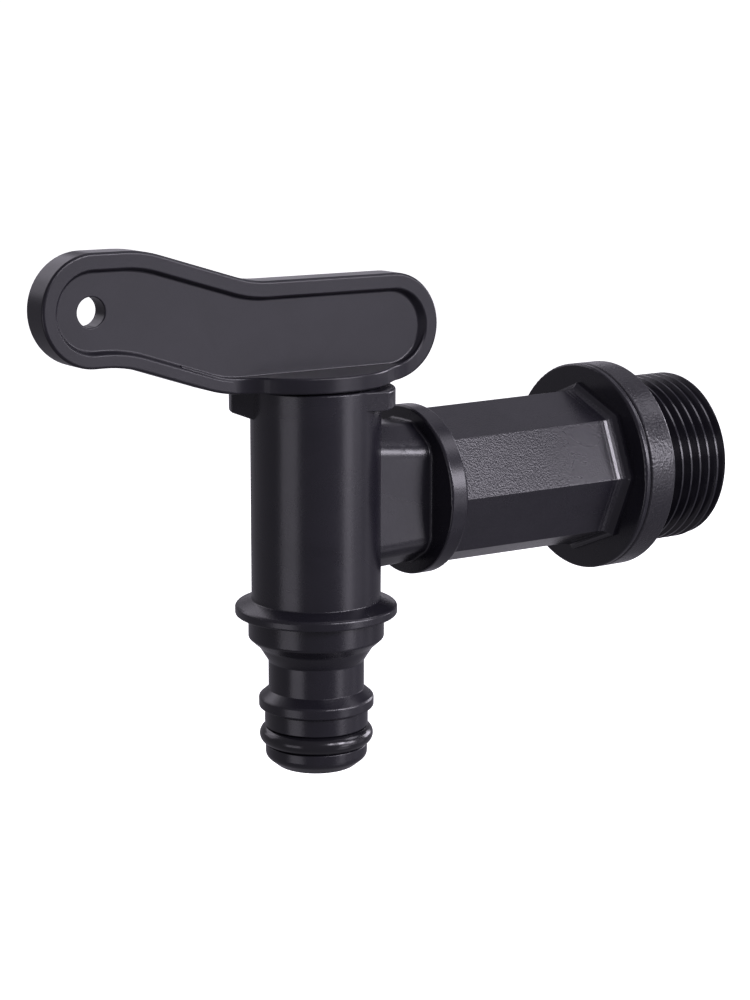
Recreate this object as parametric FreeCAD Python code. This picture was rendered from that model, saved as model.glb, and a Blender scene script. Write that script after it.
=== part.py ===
import FreeCAD, Part
import math
import os

# Lever tap for a rainwater barrel. Millimetres, +Z up.
# Origin: on the inlet thread's axis, at the tank side of the sealing washer.
# +X runs along the inlet branch into the tank. The valve barrel stands on a
# vertical axis at x = AXIS_X, the hose nozzle hangs below it, and the lever
# lies in the XZ plane and reaches towards -X when the tap is open.

os.makedirs("parts", exist_ok=True)
V = FreeCAD.Vector

# ---------------------------------------------------------------- dimensions
AXIS_X = -55.0          # valve axis

# inlet branch (about X)
THREAD_R = 13.22        # 3/4 inch parallel pipe thread, major radius
THREAD_NECK_R = 12.0    # relief under the washer, just below the minor radius
THREAD_START = 0.0
THREAD_END = 13.9
THREAD_CHAMFER = 0.9
FLANGE_R = 16.05
FLANGE_X0 = -5.95
FLANGE_X1 = -4.85
WASHER_R = 16.05
WASHER_BORE_R = 13.35
OCT_R0 = 11.85          # octagon corner radius at the collar
OCT_R1 = 12.15          # and at the flange
# octagonal foot that spreads onto the flange: distance before it, and growth
OCT_FOOT = [(-3.0, -0.02), (-2.4, 0.04), (-1.9, 0.14), (-1.45, 0.30), (-1.1, 0.50), (-0.85, 0.75),
            (-0.70, 0.97), (-0.58, 1.06), (-0.40, 1.09), (-0.15, 1.10), (0.3, 1.10)]
COLLAR_R = 12.62
COLLAR_X0 = -39.85
COLLAR_X1 = -36.8
INLET_R = 9.2           # bore of the tail
INLET_X = -30.0         # where the tail bore starts to narrow
PORT_R = 4.2            # port through the barrel wall
PORT_X = -36.5          # where the cone has come down to the port

# boss between barrel and collar: half width, half height of flat, top
BOSS_A = (5.7, 8.0, 10.9)   # at the barrel
BOSS_B = (7.5, 7.4, 10.4)   # at the collar
BOSS_ROUND = 3.0            # its long edges
BOSS_FOOT = 0.35            # hollow where it runs into the collar

# valve barrel and hose nozzle (about Z)
BARREL_R = 9.4
BARREL_TOP = 16.7
BARREL_BORE_R = 7.45
BARREL_BORE_END = -13.7
RIM_R = 11.8
RIM_Z0 = -15.15
RIM_CONE = 0.85         # rise of the rim's top towards the barrel
RIM_Z1 = -16.5
SKIRT_R = 9.9
SKIRT_Z = -19.95
CONE = (8.35, -21.35)       # bend in the cone under the skirt
NECK_R = 7.0
NECK_Z = -23.5
RIDGE_R = 8.42
RIDGE_Z0 = -28.95
RIDGE_Z1 = -30.35
LAND_R = 7.57
GROOVE_R = 5.45
GROOVE_Z0 = -33.25
GROOVE_Z1 = -36.05
TIP_R = 7.47
TIP_Z = -37.85
END_R = 5.7
END_Z = -39.3
NOZZLE_BORE_R = 4.25

# stop lugs on the barrel's top
LUG_TOP = 16.6
LUG_A = (111.0, 185.0)      # degrees from +X, seen from above
LUG_A_R = 12.4
LUG_A_OUT_Z = 13.4
LUG_A_IN_Z = 12.3
LUG_A_END = ((-9.19, 1.99), (-12.0, 3.84))   # its free end's face, in plan
LUG_B = (278.0, 369.0)
LUG_B_R = 11.4
LUG_B_Z = 13.85
LUG_B_END = ((2.59, -9.04), (5.51, -9.64))
LUG_EDGE = 0.2

# lever: a cranked plate with a raised rim, in the XZ plane
PLATE_T = 4.8
PLATE_EDGE = 0.42
RIM_W = 2.05
RIM_DROP = 0.2              # the pocket sits this much low, so the top rim is wider
WEB_T = 2.9
POCKET_SLOPE = 0.38         # how far the pocket's wall leans in over its depth
POCKET_END = 0.5            # and further at the end over the inlet
POCKET_EDGE = 0.28          # rounding of the pocket's mouth
POCKET_FOOT = 0.3           # and where its wall meets the web
LEVER_LOW = (16.9, 32.35)   # bottom and top of the part over the barrel
LEVER_HIGH = (22.1, 37.5)   # bottom and top of the raised grip
LEVER_RIGHT = 19.8          # distances from the valve axis
LEVER_LEFT = -43.9
CRANK_TOP = (-28.8, -11.75)
CRANK_BOT = (-31.9, -16.15)
CRANK_R = 18.0
HANG_R = 2.05
HANG_POS = (-36.3, 29.6)
HANG_EDGE = 0.18

# hub under the lever, and the hollow plug that turns in the barrel
HUB_Z0 = 16.9
HUB_T = 2.3                 # thickness of the ledge, measured from the lever's outline
HUB_TOP = 26.0
HUB_PLAN = [(-23.0, 1.9, 0), (-12.6, 2.55, 5.0), (-2.0, 14.65, 13.6), (12.6, 2.6, 7.0),
            (19.5, 2.2, 0)]     # half of the ledge in plan, with corner radii
HUB_EDGE = 0.28
PLUG_R = 7.40
PLUG_END = -12.9
PLUG_BORE_R = 4.6
PLUG_BORE_TOP = 6.5
RING_Z = 9.6                # plug seal rings above and below the port
RING_D = 1.5
RING_GROOVE_W = 1.8
BEAD_R = 7.65               # retaining bead and its groove in the barrel
BEAD_GROOVE_R = 7.75
BEAD_Z = 12.7
TAB_ANGLE = 105.0           # stop tab under the hub, at rest
TAB_HALF = 4.4
TAB_R = (9.65, 11.0)
TAB_Z = 14.6

# port seal on the plug's blank side
SEAL_R = (4.7, 5.9)
SEAL_DEPTH_R = 6.2

# nozzle seal ring
NOZ_RING_D = 2.65
NOZ_RING_R = 8.33           # outer radius


# ------------------------------------------------------------------- helpers
def rounded(points, to3d):
    """Closed wire through 2-D points (a, b, corner radius)."""
    n = len(points)
    ent = []
    for i in range(n):
        a, b, r = points[i]
        p = (a, b)
        q = points[i - 1]
        s = points[(i + 1) % n]
        d1 = (q[0] - a, q[1] - b)
        d2 = (s[0] - a, s[1] - b)
        l1 = math.hypot(*d1)
        l2 = math.hypot(*d2)
        d1 = (d1[0] / l1, d1[1] / l1)
        d2 = (d2[0] / l2, d2[1] / l2)
        if r <= 0:
            ent.append((p, None, p))
            continue
        cosv = max(-1.0, min(1.0, d1[0] * d2[0] + d1[1] * d2[1]))
        half = math.acos(cosv) / 2.0
        t = r / math.tan(half)
        bis = (d1[0] + d2[0], d1[1] + d2[1])
        lb = math.hypot(*bis)
        bis = (bis[0] / lb, bis[1] / lb)
        dc = r / math.sin(half)
        mid = (a + bis[0] * (dc - r), b + bis[1] * (dc - r))
        ent.append(((a + d1[0] * t, b + d1[1] * t), mid,
                    (a + d2[0] * t, b + d2[1] * t)))
    edges = []
    for i in range(n):
        s0, m, s1 = ent[i]
        if m is not None:
            edges.append(Part.Arc(to3d(*s0), to3d(*m), to3d(*s1)).toShape())
        nxt = ent[(i + 1) % n][0]
        if math.hypot(nxt[0] - s1[0], nxt[1] - s1[1]) > 1e-6:
            edges.append(Part.LineSegment(to3d(*s1), to3d(*nxt)).toShape())
    return Part.Wire(edges)


def pts(raw):
    return [(p[0], p[1], p[2] if len(p) > 2 else 0.0) for p in raw]


def turn_z(raw, start=0.0, sweep=360.0):
    """Revolve (r, z) points about the valve axis."""
    w = rounded(pts(raw), lambda r, z: V(AXIS_X + r, 0, z))
    f = Part.Face(w)
    if start:
        f.rotate(V(AXIS_X, 0, 0), V(0, 0, 1), start)
    return f.revolve(V(AXIS_X, 0, 0), V(0, 0, 1), sweep)


def turn_x(raw):
    """Revolve (r, x) points about the branch axis."""
    w = rounded(pts(raw), lambda r, x: V(x, 0, r))
    return Part.Face(w).revolve(V(0, 0, 0), V(1, 0, 0), 360.0)


def section_x(points, x):
    return rounded(points, lambda y, z: V(x, y, z))


def octagon(r, x):
    c = [(r * math.cos(math.radians(45 * k)), r * math.sin(math.radians(45 * k)), 0.25)
         for k in range(8)]
    return section_x(c, x)


def boss_section(spec, x):
    w, h, top = spec
    r = BOSS_ROUND
    c = [(-w, -h, r), (-w, h, r), (-2.6, top, 2.2), (2.6, top, 2.2),
         (w, h, r), (w, -h, r), (2.6, -top, 2.2), (-2.6, -top, 2.2)]
    return section_x(c, x)


def cyl(r, h, base, axis):
    return Part.makeCylinder(r, h, base, axis)


def plan_block(p, q, side):
    """Upright block on one side of the line p-q, in plan about the valve axis."""
    l = math.hypot(q[0] - p[0], q[1] - p[1])
    d = ((q[0] - p[0]) / l, (q[1] - p[1]) / l)
    n = (-d[1] * side, d[0] * side)
    c = [(p[0] - 20 * d[0], p[1] - 20 * d[1]), (p[0] + 20 * d[0], p[1] + 20 * d[1])]
    c = c + [(c[1][0] + 30 * n[0], c[1][1] + 30 * n[1]), (c[0][0] + 30 * n[0], c[0][1] + 30 * n[1])]
    w = Part.makePolygon([V(AXIS_X + a, b, 8.0) for a, b in c + [c[0]]])
    return Part.Face(w).extrude(V(0, 0, 12.0))


def soften(lug, r):
    """Round a lug's free edges: the ones wholly outside the barrel's wall."""
    free = []
    for e in lug.Edges:
        d = [math.hypot(v.Point.x - AXIS_X, v.Point.y) for v in e.Vertexes]
        upright = abs(e.Vertexes[0].Point.z - e.Vertexes[-1].Point.z) > 0.5
        if min(d) > BARREL_R + 0.6 and upright:
            free.append(e)
    return lug.makeFillet(r, free) if free else lug


def clean(s):
    s = s.removeSplitter()
    if s.ShapeType != "Solid":
        s = s.Solids[0] if len(s.Solids) == 1 else s
    return s


X = V(1, 0, 0)
Y = V(0, 1, 0)
Z = V(0, 0, 1)


# ------------------------------------------------------------------ tap body
def make_body():
    column = turn_z([
        (0, BARREL_TOP), (BARREL_R, BARREL_TOP, 0.3), (BARREL_R, RIM_Z0 + RIM_CONE, 0.15),
        (RIM_R, RIM_Z0, 0.55), (RIM_R, RIM_Z1, 0.3), (SKIRT_R, RIM_Z1 - 0.2, 0.15),
        (SKIRT_R, SKIRT_Z, 0.5), (CONE[0], CONE[1], 2.0), (NECK_R, NECK_Z, 0.3),
        (NECK_R, RIDGE_Z0 + 1.2, 0.08), (RIDGE_R, RIDGE_Z0, 0.55), (RIDGE_R, RIDGE_Z1, 0.25),
        (LAND_R, RIDGE_Z1 - 0.4, 0.12),
        (LAND_R, GROOVE_Z0, 0.15), (GROOVE_R, GROOVE_Z0), (GROOVE_R, GROOVE_Z1),
        (TIP_R, GROOVE_Z1, 0.15), (TIP_R, TIP_Z, 1.1), (END_R, END_Z, 0.9), (0, END_Z)])

    lug_a = turn_z([(8.6, LUG_TOP), (LUG_A_R, LUG_TOP, 0.3), (LUG_A_R, LUG_A_OUT_Z, 0.3),
                    (BARREL_R, LUG_A_IN_Z), (8.6, LUG_A_IN_Z)],
                   LUG_A[0], LUG_A[1] - LUG_A[0])
    lug_b = turn_z([(8.6, LUG_TOP), (LUG_B_R, LUG_TOP, 0.3), (LUG_B_R, LUG_B_Z, 0.3),
                    (8.6, LUG_B_Z)], LUG_B[0], LUG_B[1] - LUG_B[0])

    boss = Part.makeLoft([boss_section(BOSS_A, AXIS_X + 3.0),
                          boss_section(BOSS_B, COLLAR_X0 + 0.3)], True, True)
    collar = turn_x([(0, COLLAR_X0), (COLLAR_R, COLLAR_X0, 0.35),
                     (COLLAR_R, COLLAR_X1, 0.6), (0, COLLAR_X1)])
    octa = Part.makeLoft([octagon(OCT_R0, COLLAR_X1 - 0.5), octagon(OCT_R1, FLANGE_X0 + 0.3)],
                         True, True)
    foot = Part.makeLoft([octagon(OCT_R1 + g, FLANGE_X0 + d) for d, g in OCT_FOOT], True, True)
    tail = turn_x([(0, FLANGE_X0), (FLANGE_R, FLANGE_X0, 0.4), (FLANGE_R, FLANGE_X1, 0.4),
                   (THREAD_NECK_R, FLANGE_X1), (THREAD_NECK_R, THREAD_START),
                   (THREAD_R, THREAD_START),
                   (THREAD_R, THREAD_END - THREAD_CHAMFER),
                   (THREAD_R - THREAD_CHAMFER, THREAD_END), (0, THREAD_END)])

    lug_a = lug_a.cut(plan_block(LUG_A_END[0], LUG_A_END[1], 1))
    lug_b = lug_b.cut(plan_block(LUG_B_END[0], LUG_B_END[1], -1))
    lug_a = soften(lug_a, LUG_EDGE)
    lug_b = soften(lug_b, LUG_EDGE)
    branch = boss.fuse(collar)
    root = [e for e in branch.Edges
            if e.BoundBox.XLength < 1e-4 and abs(e.BoundBox.XMin - COLLAR_X0) < 1e-4
            and e.BoundBox.YMax < COLLAR_R - 1.0 and e.BoundBox.YMin > 1.0 - COLLAR_R
            and e.BoundBox.ZMax < COLLAR_R - 1.0 and e.BoundBox.ZMin > 1.0 - COLLAR_R]
    branch = branch.makeFillet(BOSS_FOOT, root)
    solid = column.fuse([lug_a, lug_b, branch, octa, foot, tail])

    bore = turn_z([(0, BARREL_TOP + 1), (BARREL_BORE_R + 0.5, BARREL_TOP + 1),
                   (BARREL_BORE_R + 0.5, BARREL_TOP), (BARREL_BORE_R, BARREL_TOP - 0.5),
                   (BARREL_BORE_R, BEAD_Z + 0.85), (BEAD_GROOVE_R, BEAD_Z + 0.45),
                   (BEAD_GROOVE_R, BEAD_Z - 0.45), (BARREL_BORE_R, BEAD_Z - 0.85),
                   (BARREL_BORE_R, BARREL_BORE_END), (NOZZLE_BORE_R, BARREL_BORE_END - 4.0),
                   (NOZZLE_BORE_R, END_Z - 1), (0, END_Z - 1)])
    inlet = turn_x([(0, AXIS_X), (PORT_R, AXIS_X), (PORT_R, PORT_X), (INLET_R, INLET_X),
                    (INLET_R, THREAD_END - 0.5), (INLET_R + 0.5, THREAD_END),
                    (INLET_R + 0.5, THREAD_END + 1), (0, THREAD_END + 1)])
    return clean(solid.cut([bore, inlet]))


# --------------------------------------------------------------------- lever
def lever_outline(y, right=LEVER_RIGHT):
    lo0, lo1 = LEVER_LOW
    hi0, hi1 = LEVER_HIGH
    rr = (lo1 - lo0) / 2.0 - 0.001
    rl = (hi1 - hi0) / 2.0 - 0.001
    c = [(right, lo0, rr), (right, lo1, rr),
         (CRANK_TOP[1], lo1, CRANK_R), (CRANK_TOP[0], hi1, CRANK_R),
         (LEVER_LEFT, hi1, rl), (LEVER_LEFT, hi0, rl),
         (CRANK_BOT[0], hi0, CRANK_R), (CRANK_BOT[1], lo0, CRANK_R)]
    return rounded(c, lambda x, z: V(AXIS_X + x, y, z))


def make_lever():
    h = PLATE_T / 2.0
    plate = Part.Face(lever_outline(-h)).extrude(V(0, PLATE_T, 0))
    rim_edges = [e for e in plate.Edges
                 if all(abs(abs(v.Point.y) - h) < 1e-6 for v in e.Vertexes)
                 and abs(e.Vertexes[0].Point.y - e.Vertexes[-1].Point.y) < 1e-6]
    plate = plate.makeFillet(PLATE_EDGE, rim_edges)

    cuts = []
    for side in (-1, 1):
        # the pocket's wall slopes; its cutter runs 0.6 mm past the rim
        k = 0.6 / (h - WEB_T / 2.0)
        floor = lever_outline(side * WEB_T / 2.0, LEVER_RIGHT - POCKET_END).makeOffset2D(-RIM_W - POCKET_SLOPE)
        top = lever_outline(side * (h + 0.6), LEVER_RIGHT + k * POCKET_END).makeOffset2D(-RIM_W + k * POCKET_SLOPE)
        pocket = Part.makeLoft([top, floor], True, True)
        foot = [e for e in pocket.Edges
                if all(abs(abs(v.Point.y) - WEB_T / 2.0) < 1e-6 for v in e.Vertexes)]
        pocket = pocket.makeFillet(POCKET_FOOT, foot)
        pocket.translate(V(0, 0, -RIM_DROP))
        cuts.append(pocket)

    # the lower rim widens over the barrel into a lens-shaped ledge
    strip = Part.Face(lever_outline(-12.0).makeOffset2D(-0.04)).extrude(V(0, 24.0, 0)).cut(
        Part.Face(lever_outline(-13.0).makeOffset2D(-HUB_T)).extrude(V(0, 26.0, 0)))
    plan = [(a, -b, r) for a, b, r in HUB_PLAN] + list(reversed(HUB_PLAN))
    lens = Part.Face(rounded(plan, lambda a, b: V(AXIS_X + a, b, HUB_Z0 - 2.0))).extrude(
        V(0, 0, HUB_TOP - HUB_Z0 + 2.0))
    hub = strip.common(lens)
    ledge_edges = [e for e in hub.Edges
                   if e.BoundBox.ZLength < 1e-4 and e.BoundBox.ZMax < HUB_Z0 + HUB_T + 0.1
                   and min(abs(v.Point.y) for v in e.Vertexes) > 2.0]
    hub = hub.makeFillet(HUB_EDGE, ledge_edges)

    g = PLUG_R - RING_D
    w = RING_GROOVE_W / 2.0
    plug = turn_z([(0, HUB_Z0 + 1.0), (PLUG_R, HUB_Z0 + 1.0),
                   (PLUG_R, BEAD_Z + 0.7), (BEAD_R, BEAD_Z + 0.3), (BEAD_R, BEAD_Z - 0.3),
                   (PLUG_R, BEAD_Z - 0.7),
                   (PLUG_R, RING_Z + w), (g, RING_Z + w), (g, RING_Z - w), (PLUG_R, RING_Z - w),
                   (PLUG_R, -RING_Z + w), (g, -RING_Z + w), (g, -RING_Z - w), (PLUG_R, -RING_Z - w),
                   (PLUG_R, PLUG_END + 0.5), (PLUG_R - 0.5, PLUG_END), (0, PLUG_END)])

    tab_arm = turn_z([(7.0, HUB_Z0), (TAB_R[1], HUB_Z0), (TAB_R[1], HUB_Z0 + HUB_T - 0.3), (7.0, HUB_Z0 + HUB_T - 0.3)],
                     TAB_ANGLE - TAB_HALF, 2 * TAB_HALF)
    tab = turn_z([(TAB_R[0], TAB_Z), (TAB_R[1], TAB_Z), (TAB_R[1], HUB_Z0 + HUB_T - 0.3), (TAB_R[0], HUB_Z0 + HUB_T - 0.3)],
                 TAB_ANGLE - TAB_HALF, 2 * TAB_HALF)

    plate = plate.cut(cuts)
    # round the pockets' mouths, well inside the plate's outer edge
    rim = lever_outline(0.0)
    mouth = [e for e in plate.Edges
             if all(abs(abs(v.Point.y) - h) < 1e-6 for v in e.Vertexes)
             and rim.distToShape(Part.Vertex(V(e.CenterOfMass.x, 0, e.CenterOfMass.z)))[0] > 1.2]
    plate = plate.makeFillet(POCKET_EDGE, mouth)
    plate = plate.cut(cyl(HANG_R, 20, V(AXIS_X + HANG_POS[0], -10, HANG_POS[1]), Y))
    lips = [e for e in plate.Edges
            if isinstance(e.Curve, Part.Circle) and abs(e.Curve.Radius - HANG_R) < 1e-6
            and abs(abs(e.Curve.Center.y) - WEB_T / 2.0) < 1e-6]
    plate = plate.makeFillet(HANG_EDGE, lips)
    lever = plate.fuse([hub, plug, tab_arm, tab])

    waterway = cyl(PLUG_BORE_R, PLUG_BORE_TOP - PLUG_END + 1, V(AXIS_X, 0, PLUG_END - 1), Z)
    port = cyl(PORT_R, 10, V(AXIS_X, 0, 0), X)
    seal_seat = cyl(SEAL_R[1] + 0.05, 10, V(AXIS_X, 0, 0), Y).cut(
        cyl(SEAL_R[0] - 0.05, 12, V(AXIS_X, -1, 0), Y)).cut(
        cyl(SEAL_DEPTH_R - 0.05, 40, V(AXIS_X, 0, -20), Z))
    return clean(lever.cut([waterway, port, seal_seat]))


# ------------------------------------------------------------------- washers
def ring_z(outer_r, d, z):
    return Part.makeTorus(outer_r - d / 2.0, d / 2.0, V(AXIS_X, 0, z), Z)


def make_port_seal():
    tube = cyl(SEAL_R[1], 10, V(AXIS_X, 0, 0), Y).cut(cyl(SEAL_R[0], 12, V(AXIS_X, -1, 0), Y))
    shell = cyl(PLUG_R + 0.02, 40, V(AXIS_X, 0, -20), Z).cut(
        cyl(SEAL_DEPTH_R, 42, V(AXIS_X, 0, -21), Z))
    return clean(tube.common(shell))


def make_washer():
    return turn_x([(WASHER_BORE_R, FLANGE_X1, 0), (WASHER_R, FLANGE_X1, 0.45),
                   (WASHER_R, 0, 0.4), (WASHER_BORE_R, 0, 0)])


parts = {
    "tap_body": make_body(),
    "lever_handle": make_lever(),
    "plug_upper_o_ring": ring_z(PLUG_R + 0.02, RING_D, RING_Z),
    "plug_lower_o_ring": ring_z(PLUG_R + 0.02, RING_D, -RING_Z),
    "port_seal": make_port_seal(),
    "nozzle_o_ring": ring_z(NOZ_RING_R, NOZ_RING_D, (GROOVE_Z0 + GROOVE_Z1) / 2.0),
    "flange_washer": make_washer(),
}

for name, shape in parts.items():
    b = shape.BoundBox
    print(name, shape.ShapeType, len(shape.Solids), "valid", shape.isValid(),
          "vol %.1f" % shape.Volume,
          "x %.2f..%.2f y %.2f..%.2f z %.2f..%.2f" % (b.XMin, b.XMax, b.YMin, b.YMax, b.ZMin, b.ZMax))
    shape.exportStep("parts/%s.step" % name)
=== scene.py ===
import math

import bmesh
import bpy
from mathutils import Matrix, Vector


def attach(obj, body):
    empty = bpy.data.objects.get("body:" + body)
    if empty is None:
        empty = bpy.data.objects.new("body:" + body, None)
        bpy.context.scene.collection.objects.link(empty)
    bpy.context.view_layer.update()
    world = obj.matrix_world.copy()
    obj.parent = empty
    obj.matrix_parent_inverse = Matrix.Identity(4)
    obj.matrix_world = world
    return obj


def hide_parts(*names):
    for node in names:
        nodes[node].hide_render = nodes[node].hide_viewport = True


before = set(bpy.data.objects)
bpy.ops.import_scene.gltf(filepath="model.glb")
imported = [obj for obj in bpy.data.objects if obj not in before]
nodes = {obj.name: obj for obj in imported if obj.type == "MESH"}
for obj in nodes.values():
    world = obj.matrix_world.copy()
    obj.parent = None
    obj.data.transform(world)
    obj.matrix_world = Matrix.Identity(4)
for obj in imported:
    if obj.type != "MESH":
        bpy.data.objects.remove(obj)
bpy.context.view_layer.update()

scene = bpy.context.scene
MM = 0.001

# ------------------------------------------------------------------ dimensions
AXIS_X = -55.0              # valve axis, mm
PITCH = 1.814               # inlet thread, mm
THREAD_MAJOR = 13.22
THREAD_MINOR = 12.08
CREST = 0.30                # width of the flat on a crest
THREAD_X = (-1.3, 15.4)     # the groove runs out of the metal at both ends
STEPS = 144                 # sections in each turn


# ---------------------------------------------------------------- node helpers
def new_material(name):
    m = bpy.data.materials.new(name)
    m.use_nodes = True
    t = m.node_tree
    for n in list(t.nodes):
        t.nodes.remove(n)
    out = t.nodes.new("ShaderNodeOutputMaterial")
    b = t.nodes.new("ShaderNodeBsdfPrincipled")
    t.links.new(b.outputs["BSDF"], out.inputs["Surface"])
    return m, t, b


def coords(t):
    return t.nodes.new("ShaderNodeTexCoord").outputs["Object"]


def noise(t, vec, scale, detail=2.0, rough=0.5, distort=0.0):
    n = t.nodes.new("ShaderNodeTexNoise")
    n.inputs["Scale"].default_value = scale
    n.inputs["Detail"].default_value = detail
    n.inputs["Roughness"].default_value = rough
    n.inputs["Distortion"].default_value = distort
    t.links.new(vec, n.inputs["Vector"])
    return n.outputs["Fac"]


def stretch(t, vec, scale):
    n = t.nodes.new("ShaderNodeMapping")
    n.inputs["Scale"].default_value = scale
    t.links.new(vec, n.inputs["Vector"])
    return n.outputs["Vector"]


def remap(t, fac, a, b, lo, hi):
    n = t.nodes.new("ShaderNodeMapRange")
    n.inputs["From Min"].default_value = a
    n.inputs["From Max"].default_value = b
    n.inputs["To Min"].default_value = lo
    n.inputs["To Max"].default_value = hi
    t.links.new(fac, n.inputs["Value"])
    return n.outputs["Result"]


def ramp(t, fac, stops):
    n = t.nodes.new("ShaderNodeValToRGB")
    el = n.color_ramp.elements
    el[0].position, el[0].color = stops[0][0], (*stops[0][1], 1)
    el[1].position, el[1].color = stops[-1][0], (*stops[-1][1], 1)
    for pos, col in stops[1:-1]:
        e = el.new(pos)
        e.color = (*col, 1)
    t.links.new(fac, n.inputs["Fac"])
    return n.outputs["Color"]


def bump(t, height, strength, distance, normal=None):
    n = t.nodes.new("ShaderNodeBump")
    n.inputs["Strength"].default_value = strength
    n.inputs["Distance"].default_value = distance
    t.links.new(height, n.inputs["Height"])
    if normal is not None:
        t.links.new(normal, n.inputs["Normal"])
    return n.outputs["Normal"]


# ------------------------------------------------------------------- materials
def math_node(t, op, a, b):
    n = t.nodes.new("ShaderNodeMath")
    n.operation = op
    for i, v in enumerate((a, b)):
        if isinstance(v, (int, float)):
            n.inputs[i].default_value = v
        else:
            t.links.new(v, n.inputs[i])
    return n.outputs["Value"]


def along(t, vec, axis):
    n = t.nodes.new("ShaderNodeSeparateXYZ")
    t.links.new(vec, n.inputs["Vector"])
    return n.outputs[axis]


def plastic(name, base, grain, rough, grain_scale=2600.0, wave=0.10, level=0.5, flats=None, gloss=None, polish=None):
    """Satin black moulded plastic: spark-eroded grain, faint flow mottling.

    flats: (x from, x to, extra grain), a stretch of the branch whose faces are
    coarser, most at its near end. gloss: x beyond which the surface is smoother.
    polish: (x from, x to, less roughness), the hollow of the octagon's foot.
    """
    m, t, b = new_material(name)
    vec = coords(t)
    dark, light = base
    t.links.new(ramp(t, noise(t, vec, 140.0, 3.0, 0.55, 0.6),
                     [(0.32, dark), (0.68, light)]), b.inputs["Base Color"])
    broad = noise(t, stretch(t, vec, (0.7, 1.0, 1.3)), 90.0, 4.0, 0.6, 0.8)
    rough_fac = remap(t, broad, 0.3, 0.7, rough[0], rough[1])
    height = noise(t, vec, grain_scale, 2.0, 0.62)
    if flats:
        x0, x1, extra = flats
        x = along(t, vec, "X")
        near = remap(t, x, x0 - 0.0003, x0 + 0.0003, 0.0, 1.0)
        fade = remap(t, x, x0 + 0.005, x0 + 0.020, 1.0, 0.3)
        end = remap(t, x, x1, x1 + 0.0016, 1.0, 0.0)
        mask = math_node(t, "MULTIPLY", math_node(t, "MULTIPLY", near, fade), end)
        stipple = noise(t, vec, 4300.0, 0.6, 0.5)
        height = math_node(t, "ADD", height,
                           math_node(t, "MULTIPLY", stipple, math_node(t, "MULTIPLY", mask, extra)))
        rough_fac = math_node(t, "ADD", rough_fac, math_node(t, "MULTIPLY", mask, 0.03))
    if gloss is not None:
        smooth = remap(t, along(t, vec, "X"), gloss, gloss + 0.0008, 0.0, 1.0)
        rough_fac = math_node(t, "SUBTRACT", rough_fac, math_node(t, "MULTIPLY", smooth, 0.08))
    if polish:
        x0, x1, less = polish
        x = along(t, vec, "X")
        hollow = math_node(t, "MULTIPLY", remap(t, x, x0, x0 + 0.0006, 0.0, 1.0),
                           remap(t, x, x1 - 0.00005, x1, 1.0, 0.0))
        rough_fac = math_node(t, "SUBTRACT", rough_fac, math_node(t, "MULTIPLY", hollow, less))
    t.links.new(rough_fac, b.inputs["Roughness"])
    b.inputs["Specular IOR Level"].default_value = level
    b.inputs["IOR"].default_value = 1.5
    swell = bump(t, noise(t, vec, 260.0, 2.0, 0.5), wave, 0.00012)
    t.links.new(bump(t, height, grain, 0.00006, swell), b.inputs["Normal"])
    return m


def rubber(name, base, grain, rough, grain_scale):
    m, t, b = new_material(name)
    vec = coords(t)
    t.links.new(ramp(t, noise(t, vec, 900.0, 4.0, 0.65), [(0.3, base[0]), (0.7, base[1])]),
                b.inputs["Base Color"])
    t.links.new(remap(t, noise(t, vec, 320.0, 3.0, 0.6), 0.3, 0.7, rough[0], rough[1]),
                b.inputs["Roughness"])
    b.inputs["Specular IOR Level"].default_value = 0.55
    t.links.new(bump(t, noise(t, vec, grain_scale, 0.6, 0.5), grain, 0.00008), b.inputs["Normal"])
    return m


BODY = plastic("body_plastic", ((0.0102, 0.0095, 0.0138), (0.0138, 0.0128, 0.0180)), 0.18, (0.24, 0.30),
               flats=(-0.0367, -0.0095, 5.2), gloss=-0.0004, polish=(-0.0088, -0.00598, 0.11))
LEVER = plastic("lever_plastic", ((0.0104, 0.0097, 0.0138), (0.0134, 0.0125, 0.0175)), 0.10, (0.28, 0.33), 3200.0,
                level=0.37)
O_RING = rubber("seal_ring_rubber", ((0.0076, 0.0071, 0.0098), (0.0098, 0.0091, 0.0120)), 0.04, (0.17, 0.23), 2600.0)
WASHER = rubber("washer_grain_rubber", ((0.0095, 0.0088, 0.0125), (0.0160, 0.0150, 0.0190)), 0.85, (0.25, 0.33), 3000.0)


# --------------------------------------------------------------- threaded body
def groove_mesh():
    """Closed helical V groove about +X, right-handed."""
    slope = math.tan(math.radians(27.5))
    top = THREAD_MAJOR + 0.14
    wt = (PITCH - CREST) / 2.0 + (top - THREAD_MAJOR) * slope
    wb = (PITCH - CREST) / 2.0 - (THREAD_MAJOR - THREAD_MINOR) * slope
    r1 = THREAD_MINOR + 0.10
    w1 = wb + 0.10 * slope
    section = [(-wt, top), (-w1 - 0.02, r1), (-wb * 0.45, THREAD_MINOR), (wb * 0.45, THREAD_MINOR),
               (w1 + 0.02, r1), (wt, top)]
    k = len(section)
    count = int((THREAD_X[1] - THREAD_X[0]) / PITCH * STEPS) + 1
    verts, faces = [], []
    for i in range(count):
        a = 2.0 * math.pi * i / STEPS
        x = THREAD_X[0] + PITCH * i / STEPS
        for dx, r in section:
            verts.append(((x + dx) * MM, r * math.cos(a) * MM, r * math.sin(a) * MM))
    for i in range(count - 1):
        for j in range(k):
            n = (j + 1) % k
            faces.append((i * k + j, i * k + n, (i + 1) * k + n, (i + 1) * k + j))
    faces.append(tuple(range(k)))
    faces.append(tuple(reversed(range((count - 1) * k, count * k))))
    me = bpy.data.meshes.new("groove")
    me.from_pydata(verts, [], faces)
    b = bmesh.new()
    b.from_mesh(me)
    bmesh.ops.triangulate(b, faces=[f for f in b.faces if len(f.verts) > 4])
    bmesh.ops.recalc_face_normals(b, faces=b.faces)
    b.to_mesh(me)
    b.free()
    return me


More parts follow.
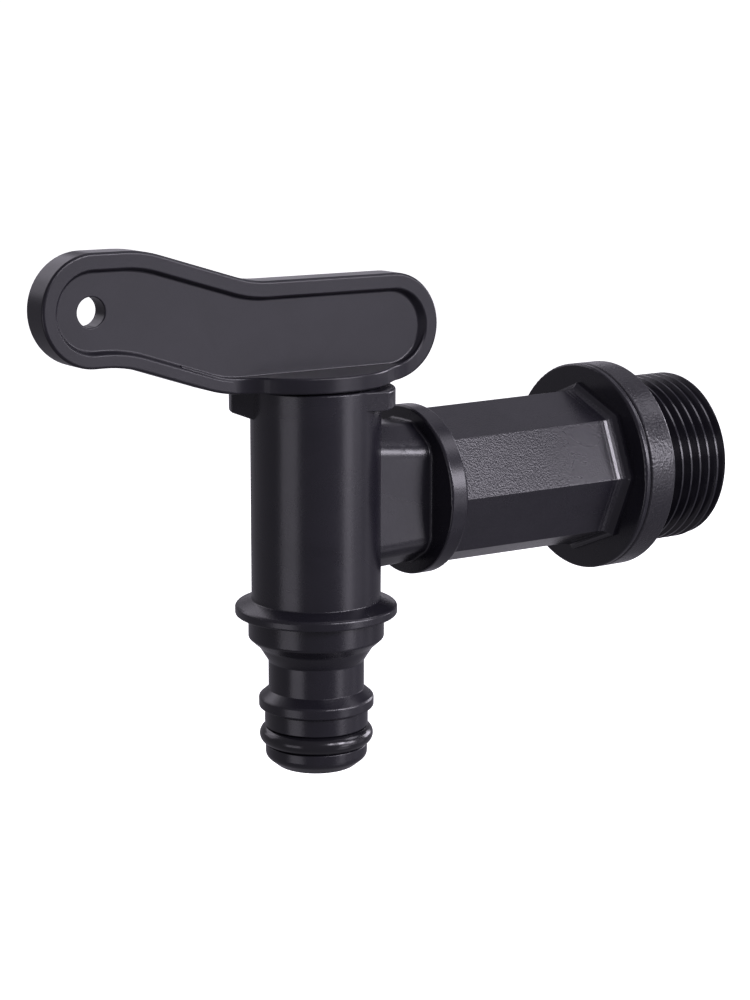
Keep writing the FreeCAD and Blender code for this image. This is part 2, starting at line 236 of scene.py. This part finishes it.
def key(v):
    return (round(v[0] * 2e6), round(v[1] * 2e6), round(v[2] * 2e6))


def threaded_body():
    """The tap body with the inlet thread cut into its plain cylinder."""
    src = nodes["tap_body"].data
    # true surface normals of the solid, looked up by corner position and face
    table = {}
    src_corner = [Vector(c.vector) for c in src.corner_normals]
    for p in src.polygons:
        for li in p.loop_indices:
            table.setdefault(key(src.vertices[src.loops[li].vertex_index].co), []).append(
                (p.normal.copy(), src_corner[li]))

    me = bpy.data.meshes.new("threaded_body")
    b = bmesh.new()
    b.from_mesh(src)
    bmesh.ops.remove_doubles(b, verts=b.verts, dist=2e-7)
    b.to_mesh(me)
    b.free()
    me.materials.clear()
    for name in [a.name for a in me.attributes if a.name in ("custom_normal", "sharp_edge", "sharp_face")]:
        me.attributes.remove(me.attributes[name])
    ob = bpy.data.objects.new("threaded_body", me)
    scene.collection.objects.link(ob)
    cutter = bpy.data.objects.new("groove", groove_mesh())
    scene.collection.objects.link(cutter)
    mod = ob.modifiers.new("thread", "BOOLEAN")
    mod.operation = "DIFFERENCE"
    mod.object = cutter
    mod.solver = "MANIFOLD"
    bpy.context.view_layer.update()
    dg = bpy.context.evaluated_depsgraph_get()
    cut = bpy.data.meshes.new_from_object(ob.evaluated_get(dg))
    ob.modifiers.clear()
    ob.data = cut
    bpy.data.objects.remove(cutter)
    cut.polygons.foreach_set("use_smooth", [True] * len(cut.polygons))
    cut.set_sharp_from_angle(angle=math.radians(24.0))
    own = [Vector(c.vector) for c in cut.corner_normals]
    normals = []
    for p in cut.polygons:
        for li in p.loop_indices:
            co = cut.vertices[cut.loops[li].vertex_index].co
            best = own[li]
            hits = table.get(key(co))
            if hits:
                n, c = max(hits, key=lambda h: h[0].dot(p.normal))
                if n.dot(p.normal) > 0.995:
                    best = c
            normals.append((li, best))
    normals.sort(key=lambda q: q[0])
    cut.normals_split_custom_set([n for _, n in normals])
    cut.materials.clear()
    cut.materials.append(BODY)
    cut.polygons.foreach_set("material_index", [0] * len(cut.polygons))
    return ob


body = threaded_body()
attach(body, "tap")
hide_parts("tap_body")

for name, mat in (("lever_handle", LEVER), ("nozzle_o_ring", O_RING), ("flange_washer", WASHER),
                  ("plug_upper_o_ring", O_RING), ("plug_lower_o_ring", O_RING), ("port_seal", O_RING)):
    mats = nodes[name].data.materials
    for i in range(len(mats)):
        mats[i] = mat


# --------------------------------------------------------------- stage and light
def stage_floor():
    z = -0.150
    me = bpy.data.meshes.new("floor")
    ring = [(4.0 * math.cos(2 * math.pi * i / 96), 4.0 * math.sin(2 * math.pi * i / 96), z) for i in range(96)]
    me.from_pydata(ring, [], [tuple(range(96))])
    ob = bpy.data.objects.new("floor", me)
    scene.collection.objects.link(ob)
    m, t, b = new_material("pale_floor")
    t.links.new(ramp(t, noise(t, coords(t), 3.0, 2.0), [(0.3, (0.90, 0.90, 0.90)), (0.7, (0.92, 0.92, 0.92))]),
                b.inputs["Base Color"])
    b.inputs["Roughness"].default_value = 0.9
    b.inputs["Emission Color"].default_value = (1, 1, 1, 1)
    b.inputs["Emission Strength"].default_value = 0.92
    me.materials.append(m)
    ob.visible_glossy = False
    ob.visible_diffuse = False


stage_floor()

CENTRE = Vector((-0.042, 0.0, 0.0))
CAST = (1.0, 0.955, 1.075)    # the faint violet cast of the light


def softbox(name, azimuth, elevation, distance, width, height, power, shape="RECTANGLE"):
    """Azimuth from +X, anticlockwise from above; the box faces the tap."""
    a, e = math.radians(azimuth), math.radians(elevation)
    d = Vector((math.cos(a) * math.cos(e), math.sin(a) * math.cos(e), math.sin(e)))
    li = bpy.data.lights.new(name, "AREA")
    li.shape = shape
    li.size, li.size_y = width, height
    li.energy = power
    li.color = CAST
    ob = bpy.data.objects.new(name, li)
    ob.location = CENTRE + d * distance
    ob.rotation_mode = "QUATERNION"
    ob.rotation_quaternion = d.to_track_quat("Z", "Y")
    ob.visible_camera = False
    scene.collection.objects.link(ob)
    return ob


softbox("main", 309, 13, 1.0, 0.36, 0.34, 2.06, "ELLIPSE")
softbox("main_broad", 303, 4, 1.0, 0.70, 0.60, 0.80, "ELLIPSE")
softbox("main_upper", 290, 23, 1.0, 0.22, 0.34, 3.80)
softbox("foot_line", 268, 27, 1.0, 0.18, 0.30, 1.8)
softbox("main_low", 294, -13, 1.0, 0.30, 0.26, 0.51)
softbox("right_fill", 318, -12, 1.0, 0.22, 0.40, 0.12)
softbox("right_edge", 338, -10, 1.0, 0.26, 0.40, 0.12)
softbox("left_strip", 196, -12, 1.0, 0.32, 0.50, 0.66)
softbox("left_edge", 180, -12, 1.0, 0.20, 0.50, 0.40)
softbox("top_front", 336, 44, 1.0, 0.36, 0.30, 0.9)
softbox("top", 0, 75, 1.0, 0.50, 0.50, 0.75)
softbox("back_right", 5, 10, 1.0, 0.45, 0.40, 3.0)
softbox("back_mid", 55, 12, 1.0, 0.40, 0.30, 0.20)
softbox("back_top", 34, 47, 1.0, 0.40, 0.40, 0.14)
softbox("back_low", 52, -25, 1.0, 0.60, 0.35, 0.10)
softbox("back_left", 120, 25, 1.0, 0.50, 0.50, 0.80)
softbox("back", 92, 36, 1.0, 0.60, 0.50, 1.0)
softbox("low", 298, -38, 1.0, 0.40, 0.30, 0.28)

world = bpy.data.worlds.new("studio")
scene.world = world
world.use_nodes = True
wt = world.node_tree
for n in list(wt.nodes):
    wt.nodes.remove(n)
w_out = wt.nodes.new("ShaderNodeOutputWorld")
w_mix = wt.nodes.new("ShaderNodeMixShader")
w_path = wt.nodes.new("ShaderNodeLightPath")
w_fill = wt.nodes.new("ShaderNodeBackground")
w_fill.inputs["Color"].default_value = (1.0, 0.955, 1.10, 1)
w_fill.inputs["Strength"].default_value = 0.23
w_back = wt.nodes.new("ShaderNodeBackground")
w_back.inputs["Color"].default_value = (1, 1, 1, 1)
w_back.inputs["Strength"].default_value = 1.05
wt.links.new(w_path.outputs["Is Camera Ray"], w_mix.inputs["Fac"])
wt.links.new(w_fill.outputs["Background"], w_mix.inputs[1])
wt.links.new(w_back.outputs["Background"], w_mix.inputs[2])
wt.links.new(w_mix.outputs["Shader"], w_out.inputs["Surface"])

scene.view_settings.view_transform = "Standard"
scene.view_settings.look = "None"

# ------------------------------------------------------------------------ camera
cam = bpy.data.cameras.new("camera")
cam.sensor_fit = "AUTO"
cam.sensor_width = 36.0
cam.lens = 79.2
cam.clip_start, cam.clip_end = 0.01, 50.0
cam_ob = bpy.data.objects.new("camera", cam)
scene.collection.objects.link(cam_ob)
right = Vector((0.819683, -0.572808, 0.003421))
up = Vector((0.110720, 0.164293, 0.980178))
fwd = Vector((0.562015, 0.803056, -0.198090))
m = Matrix((right, up, -fwd)).transposed().to_4x4()
m.translation = Vector((-0.226067, -0.259253, 0.062877))
cam_ob.matrix_world = m
scene.camera = cam_ob
